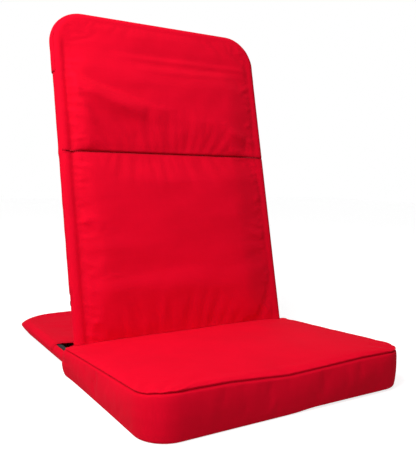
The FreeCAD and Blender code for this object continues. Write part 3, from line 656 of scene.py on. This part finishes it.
def makeCase(name, outset, foot, seed):  # a flat bag with full round edges, cut open at its foot
    half = (case["half"] + outset, (case["top"] + outset - foot + case["spare"]) / 2)
    middle = (case["top"] + outset + foot - case["spare"]) / 2
    corners = (case["corner"] + outset, 0.02)
    wall = tubeWall(case["thick"] + outset)
    piece, (u, v, w) = roundedBox(name, case["cuts"], half, corners, wall)
    x, t, front = points(piece).T
    t = t + middle
    rho = rims(u, v)
    inside = unit((1 - rho) * 5)
    sag = case["sag"] * bow((x + half[0]) / (2 * half[0])) * inside
    crease = creases(x, t, case["creases"], seed)
    slack = np.clip(np.abs(t - case["barAt"]) / 0.05, 0.12, 1)  # the cross bar holds the cloth out
    front = front + np.where(w < -onSide, (sag + crease * inside) * slack, 0)
    bump = waves(t, front, 0.05, seed + 2) * 0.0004
    bump = bump + case["seamBump"] * bell(t - case["seamAt"], 0.004)
    x = x + np.where((rho > onSide) & (np.abs(u) > np.abs(v)), np.sign(u) * bump, 0)
    movePoints(piece, np.stack([x, t, front], 1))
    trim(piece, (0, foot, 0), (0, -1, 0))
    return piece


def makeBackCase():
    piece = makeCase("back_case", 0.0, case["foot"], 21)
    deleteFaces(piece, lambda middle, normal: (
        (middle[:, 2] > case["thick"] * 0.97) & (normal[:, 2] > 0.9)
        & (np.abs(middle[:, 0]) < case["opening"])))
    crossCut(piece, (0, case["hem"], 0), (0, 1, 0))
    deleteFaces(piece, lambda middle, normal: (
        (middle[:, 1] < case["hem"]) & (middle[:, 2] < 0.0004)))
    # painted shade along the rear hem
    paintHemShade(piece, case["hem"], case["hemWidth"])
    lean(piece)
    restOn(piece, seatCushion)
    finishCloth(piece, case["cloth"])
    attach(piece, "back")
    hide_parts("back_rear_panel", "back_side_binding_left", "back_side_binding_right")
    return piece


def makeHood():
    piece = makeCase("back_hood", hood["outset"], hood["foot"], 31)
    trim(piece, (-case["half"], hood["foot"], 0), (hood["slant"], -1, 0))
    trim(piece, (0, 0, hood["front"]), (0, 0, 1))
    # painted shade along the hood's hem
    paintHemShade(piece, hood["foot"], hood["hemWidth"])
    lean(piece)
    finishCloth(piece, hood["cloth"])
    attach(piece, "back")
    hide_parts("back_hood_pocket")
    return piece


print("back case and hood")
backCase = makeBackCase()
backHood = makeHood()


# Base sleeve: two layers over the rear of the base loop

sleeve = {
    "half": 0.257, "rear": 0.381, "corner": 0.050, "bend": 0.0923, "thick": 0.0143,
    "cloth": 0.0015, "upperMouth": 0.097, "lowerMouth": 0.0055, "hemWidth": 0.010, "lip": 0.0128,
    "cuts": (86, 80, 12), "sag": 0.005, "spare": 0.06,
    "creases": ((1, 1, 0.13, 0.0014), (1, 1, 0.05, 0.0004)),
}


def makeSleeve(name, mouth, upper, seed):  # half of a flat bag with round edges, above or below
    half = (sleeve["half"], (sleeve["rear"] - mouth + sleeve["spare"]) / 2)
    middle = (sleeve["rear"] + mouth - sleeve["spare"]) / 2
    corners = (sleeve["corner"], 0.02)
    level, bend = sleeve["thick"], sleeve["bend"]
    piece, (u, v, w) = roundedBox(name, sleeve["cuts"], half, corners, tubeWall(level))
    x, y, z = points(piece).T
    y = y + middle
    inside = unit((1 - rims(u, v)) * 5)
    if upper:
        dip = sleeve["sag"] * inside * (0.6 + 0.4 * np.cos(math.pi * x / (2 * sleeve["half"])))
        crease = creases(x, y, sleeve["creases"], seed) * inside
        z = np.where(w > onSide, z - dip + crease, z)
    pastX = np.maximum(np.abs(x) - (sleeve["half"] - bend), 0)
    pastY = np.maximum(y - (sleeve["rear"] - bend), 0)
    empty = unit(np.hypot(pastX, pastY) - (bend - level)) * (pastX > 0) * (pastY > 0)
    z = level + z * (1 - 0.9 * unit(empty / 0.033) ** 1.6)  # flat past the tube's bends
    movePoints(piece, np.stack([x, y, z], 1))
    trim(piece, (0, mouth, 0), (0, -1, 0))
    if upper:
        trim(piece, (0, 0, level), (0, 0, -1))
    else:
        edge, lip = sleeve["upperMouth"] - sleeve["cloth"], level + sleeve["lip"]
        crossCut(piece, (0, 0, level), (0, 0, 1))
        crossCut(piece, (0, 0, lip), (0, 0, 1))
        crossCut(piece, (0, edge, 0), (0, 1, 0))
        deleteFaces(piece, lambda middle, normal: (
            (middle[:, 2] > lip) | ((middle[:, 2] > level) & (middle[:, 1] > edge))))
    # painted shade along the sleeve's mouth
    paintHemShade(piece, mouth, sleeve["hemWidth"])
    finishCloth(piece, sleeve["cloth"])
    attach(piece, "base")
    return piece


print("base sleeve")
sleeveUpper = makeSleeve("base_sleeve_top", sleeve["upperMouth"], True, 41)
sleeveLower = makeSleeve("base_sleeve_under", sleeve["lowerMouth"], False, 51)
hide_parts("base_sleeve_upper")
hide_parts("base_sleeve_lower")


# Stitches: short threads set across the back along a seam

stitch = {"length": 0.0032, "pitch": 0.0045, "radius": 0.00045}


def stitchRow(name, halfLength, t, s):
    first = stitch["pitch"] - halfLength
    count = 1 + int(-2 * first / stitch["pitch"] + tiny)
    deselect()
    bpy.ops.mesh.primitive_uv_sphere_add(
        segments=8, ring_count=5, radius=1, rotation=(0, math.pi / 2, 0))
    piece = bpy.context.object
    piece.name = name
    piece.scale = (stitch["radius"], stitch["radius"], stitch["length"] / 2)
    piece.location = onBack(first, np.array([s]), np.array([t]))[0]
    freeze(piece)
    modify(
        piece, "ARRAY", count=count, use_relative_offset=False, use_constant_offset=True,
        constant_offset_displace=(stitch["pitch"], 0, 0))
    smooth(piece, 80)
    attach(piece, "back")
    return piece


print("stitches")
seamRows = [
    stitchRow("cross_seam_stitches", 0.234, 0.382, -0.0144),
    stitchRow("rear_hem_stitches", 0.236, 0.106, 0.0131),
]


# Materials

class Wire:  # a socket that Python's operators work on, each adding its Math node
    def __init__(self, tree, socket):
        self.tree, self.socket = tree, socket

    def math(self, operation, other=0.0, swapped=False):
        first, second = (other, self) if swapped else (self, other)
        return addNode(
            self.tree, "ShaderNodeMath", {"operation": operation}, {0: first, 1: second})

    def limit(self):
        return self.math("MAXIMUM", 0.0).math("MINIMUM", 1.0)

    def __add__(self, other): return self.math("ADD", other)
    def __radd__(self, other): return self.math("ADD", other)
    def __sub__(self, other): return self.math("SUBTRACT", other)
    def __rsub__(self, other): return self.math("SUBTRACT", other, True)
    def __mul__(self, other): return self.math("MULTIPLY", other)
    def __rmul__(self, other): return self.math("MULTIPLY", other)


def addNode(tree, kind, settings, inputs, output=0):
    made = tree.nodes.new(kind)
    for name, value in settings.items():
        setattr(made, name, value)
    for name, value in inputs.items():
        if isinstance(value, Wire):
            tree.links.new(value.socket, made.inputs[name])
        else:
            made.inputs[name].default_value = value
    return Wire(tree, made.outputs[output])


def newMaterial(name):
    material = bpy.data.materials.new(name)
    material.use_nodes = True
    tree = material.node_tree
    return material, tree, tree.nodes["Principled BSDF"]


def connect(tree, shader, name, wire):
    tree.links.new(wire.socket, shader.inputs[name])


def mixColour(tree, factor, first, second):
    colours = {0: factor, 6: first, 7: second}  # the sockets of a Mix node that take colours
    return addNode(tree, "ShaderNodeMix", {"data_type": "RGBA"}, colours, 2)


def noise(tree, place, scale, detail):
    inputs = {"Vector": place, "Scale": scale, "Detail": detail}
    return addNode(tree, "ShaderNodeTexNoise", {}, inputs)


def rgb(red, green, blue):  # screen colour 0..255 to the linear values that sockets take
    def linear(value):
        value /= 255
        return value / 12.92 if value <= 0.04045 else ((value + 0.055) / 1.055) ** 2.4
    return (linear(red), linear(green), linear(blue), 1.0)


# shade is the painted shade colour for the weave's hollows and the seams; the thread's twist also
# runs to it
canvas = {
    "bright": rgb(240, 0, 40), "deep": rgb(226, 0, 35), "faded": rgb(246, 10, 50),
    "shade": rgb(180, 0, 26), "pitch": 0.0011, "bump": 0.00024, "relief": 0.55,
    "roughness": 0.85, "sheen": 0.03, "sheenRoughness": 0.45, "sheenTint": rgb(255, 90, 110),
    "specular": 0.08,
}


def makeCanvas(name, mapped):  # plain weave, uneven threads, mottled dye, with painted shade between the threads and in the seams
    material, tree, shader = newMaterial(name)
    if mapped:
        place = addNode(tree, "ShaderNodeUVMap", {"uv_map": "threads"}, {})
    else:
        place = addNode(tree, "ShaderNodeTexCoord", {}, {}, "Object")
    across = addNode(tree, "ShaderNodeSeparateXYZ", {}, {0: place}, "X")
    along = addNode(tree, "ShaderNodeSeparateXYZ", {}, {0: place}, "Y")
    turn = math.pi / canvas["pitch"]
    weave = (across * turn).math("SINE") * (along * turn).math("SINE") * 0.5 + 0.5

    def grain(scale, stretch, detail=2.0):
        moved = addNode(tree, "ShaderNodeMapping", {}, {"Vector": place, "Scale": stretch})
        return noise(tree, moved, scale, detail)

    slub = grain(220.0, (0.12, 1.0, 1.0)) * 0.5 + grain(220.0, (1.0, 0.12, 1.0)) * 0.5
    mottle = (grain(9.0, (1.0, 1.0, 1.0), 3.0) * 1.6 - 0.3).math("MAXIMUM", 0.0)
    thread = (slub * 2.4 - 0.95).limit()
    seam = addNode(tree, "ShaderNodeAttribute", {"attribute_name": "paintedSeamShade"}, {}, "Fac")
    colour = mixColour(tree, mottle, canvas["deep"], canvas["bright"])
    colour = mixColour(tree, thread * 0.28, colour, canvas["faded"])
    # painted shade in the hollows between the threads
    colour = mixColour(tree, (1 - weave) * 0.16, colour, canvas["shade"])
    # painted shade along seams, hems and grooves
    colour = mixColour(tree, seam * 0.55, colour, canvas["shade"])
    connect(tree, shader, "Base Color", colour)
    connect(tree, shader, "Roughness", canvas["roughness"] + (slub - 0.5) * 0.25)
    bump = {
        "Strength": canvas["relief"], "Distance": canvas["bump"],
        "Height": weave * 0.55 + slub * 0.9,
    }
    connect(tree, shader, "Normal", addNode(tree, "ShaderNodeBump", {}, bump))
    shader.inputs["Sheen Weight"].default_value = canvas["sheen"]
    shader.inputs["Sheen Roughness"].default_value = canvas["sheenRoughness"]
    shader.inputs["Sheen Tint"].default_value = canvas["sheenTint"]
    shader.inputs["Specular IOR Level"].default_value = canvas["specular"]
    return material


def makeThread():
    material, tree, shader = newMaterial("red_thread")
    place = addNode(tree, "ShaderNodeTexCoord", {}, {}, "Object")
    twist = noise(tree, place, 900.0, 1.0)
    connect(tree, shader, "Base Color", mixColour(tree, twist, canvas["shade"], canvas["faded"]))
    connect(tree, shader, "Roughness", twist * 0.3 + 0.45)
    shader.inputs["Sheen Weight"].default_value = 0.3
    return material


def makeSolid(name, colour, worn, roughness, metallic=0.0, grain=60.0, bump=0.0001, shine=0.5):
    # a plain finish with uneven tone, fine surface grain and rubbed patches
    material, tree, shader = newMaterial(name)
    place = addNode(tree, "ShaderNodeTexCoord", {}, {}, "Object")
    broad = noise(tree, place, grain / 6, 4.0)
    fine = noise(tree, place, grain * 12, 2.0)
    rubbed = (broad * 3.0 - 1.55).limit()
    connect(tree, shader, "Base Color", mixColour(tree, rubbed * 0.5, colour, worn))
    connect(tree, shader, "Roughness", roughness + (fine - 0.5) * 0.2 + rubbed * 0.08)
    lumps = {"Strength": 0.4, "Distance": bump, "Height": fine}
    connect(tree, shader, "Normal", addNode(tree, "ShaderNodeBump", {}, lumps))
    shader.inputs["Metallic"].default_value = metallic
    shader.inputs["Specular IOR Level"].default_value = shine
    return material


print("materials")
redCanvas = makeCanvas("red_canvas_cloth", True)
plainCanvas = makeCanvas("red_canvas_plain", False)
finishes = {
    "painted_steel": makeSolid(
        "black_powder_coat", rgb(20, 17, 18), rgb(38, 36, 37), 0.55, shine=0.08),
    "zinc_steel": makeSolid(
        "zinc_plate", rgb(190, 190, 186), rgb(205, 196, 160), 0.32, 1.0, 40.0, 0.00003),
    "black_plastic": makeSolid(
        "black_plastic", rgb(28, 28, 29), rgb(52, 52, 54), 0.5, bump=0.00005),
    "nylon": makeSolid("natural_nylon", rgb(226, 222, 208), rgb(205, 198, 180), 0.45),
    "rubber": makeSolid("black_rubber", rgb(24, 24, 24), rgb(48, 47, 46), 0.85, bump=0.00015),
    "foam": makeSolid("cream_foam", rgb(232, 220, 176), rgb(214, 198, 150), 0.95, bump=0.0004),
    "zip_metal": makeSolid(
        "nickel", rgb(200, 198, 194), rgb(160, 156, 150), 0.28, 1.0, 40.0, 0.00003),
    "zip_tape": makeSolid(
        "zip_cloth", rgb(190, 6, 34), rgb(160, 4, 28), 0.85, grain=120.0, bump=0.0002),
    "red_canvas": plainCanvas,
}
finishWords = (  # the first word found in a node's name gives its finish
    ("pivot_sleeve", "zinc_steel"), ("bolt", "zinc_steel"), ("nut", "zinc_steel"),
    ("stop_pin", "zinc_steel"), ("plug", "black_plastic"), ("spacer", "nylon"),
    ("buffer", "rubber"), ("slider", "zip_metal"), ("pull", "zip_metal"),
    ("zip_tape", "zip_tape"), ("foam", "foam"), ("frame_tube", "painted_steel"),
    ("crossbar", "painted_steel"), ("bracket", "painted_steel"), ("", "red_canvas"),
)


def dress(piece, material):
    piece.data.materials.clear()
    piece.data.materials.append(material)


for piece in [seatCushion, backCase, backHood, sleeveUpper, sleeveLower] + backPads:
    dress(piece, redCanvas)
redThread = makeThread()
for piece in seamRows:
    dress(piece, redThread)
for name, node in nodes.items():
    finish = next(slot for word, slot in finishWords if word in name)
    if not node.material_slots:
        node.data.materials.append(None)
    for holder in node.material_slots:
        holder.material = finishes[finish]


# Stage, light and camera

stage = {"size": 14, "floor": (0.5, 0.5, 0.5, 1), "roughness": 0.9, "glow": 0.8, "ambient": 0.22}
white = (1, 1, 1, 1)

print("stage and camera")
deselect()
bpy.ops.mesh.primitive_plane_add(size=stage["size"])
floor = bpy.context.object
floor.name = "floor"
floorMaterial, floorTree, floorShader = newMaterial("pale_floor")
floorShader.inputs["Base Color"].default_value = stage["floor"]
floorShader.inputs["Roughness"].default_value = stage["roughness"]
path = addNode(floorTree, "ShaderNodeLightPath", {}, {}, "Is Camera Ray")
glow = addNode(
    floorTree, "ShaderNodeEmission", {}, {"Color": white, "Strength": path * stage["glow"]})
lit = Wire(floorTree, floorShader.outputs[0])
both = addNode(floorTree, "ShaderNodeAddShader", {}, {0: lit, 1: glow})
connect(floorTree, floorTree.nodes["Material Output"], "Surface", both)
floor.data.materials.append(floorMaterial)

world = bpy.data.worlds.new("studio")
scene.world = world
world.use_nodes = True
worldTree = world.node_tree
background = worldTree.nodes["Background"]
seen, glossy, through = (
    addNode(worldTree, "ShaderNodeLightPath", {}, {}, "Is " + ray + " Ray")
    for ray in ("Camera", "Glossy", "Transmission"))
backdrop = seen.math("MAXIMUM", glossy).math("MAXIMUM", through)
strength = backdrop * (1 - stage["ambient"]) + stage["ambient"]
connect(worldTree, background, "Strength", strength)
background.inputs["Color"].default_value = white

lamps = (  # name, place, aim, size, watts
    ("key", (-1.75, -0.60, 2.0), (0.0, 0.0, 0.25), 1.3, 30.0),
    ("fill", (-0.90, -0.62, 1.60), (0.0, 0.05, 0.35), 0.7, 17.0),
    ("top", (0.5, 0.3, 2.5), (0.0, -0.1, 0.1), 1.6, 3.0),
)
for name, place, aim, width, power in lamps:
    data = bpy.data.lights.new(name, "AREA")
    data.shape = "DISK"
    data.size = width
    data.energy = power
    lamp = bpy.data.objects.new(name, data)
    lamp.location = place
    lamp.rotation_euler = (Vector(aim) - Vector(place)).to_track_quat("-Z", "Y").to_euler()
    lamp.visible_camera = False
    scene.collection.objects.link(lamp)

photo = {
    "place": (-0.6340, -1.1061, 0.3884), "yaw": 31.91, "pitch": 5.24, "roll": 1.2,
    "focalPixels": 600.5, "middle": (206.6, 228.6), "width": 416, "height": 463,
}
yaw, pitch, roll = (math.radians(photo[key]) for key in ("yaw", "pitch", "roll"))
level = math.cos(pitch)
ahead = Vector((math.sin(yaw) * level, math.cos(yaw) * level, -math.sin(pitch)))
right = Vector((math.cos(yaw), -math.sin(yaw), 0))
upward = right.cross(ahead)
rightRolled = math.cos(roll) * right + math.sin(roll) * upward
upRolled = -math.sin(roll) * right + math.cos(roll) * upward
cameraData = bpy.data.cameras.new("camera")
cameraData.sensor_width = 36
cameraData.lens = photo["focalPixels"] * cameraData.sensor_width / photo["height"]
cameraData.shift_x = (photo["width"] / 2 - photo["middle"][0]) / photo["height"]
cameraData.shift_y = (photo["middle"][1] - photo["height"] / 2) / photo["height"]
camera = bpy.data.objects.new("camera", cameraData)
turn = Matrix((rightRolled, upRolled, -ahead)).transposed().to_4x4()
camera.matrix_world = Matrix.Translation(photo["place"]) @ turn
scene.collection.objects.link(camera)
scene.camera = camera
scene.view_settings.view_transform = "Standard"

deselect()
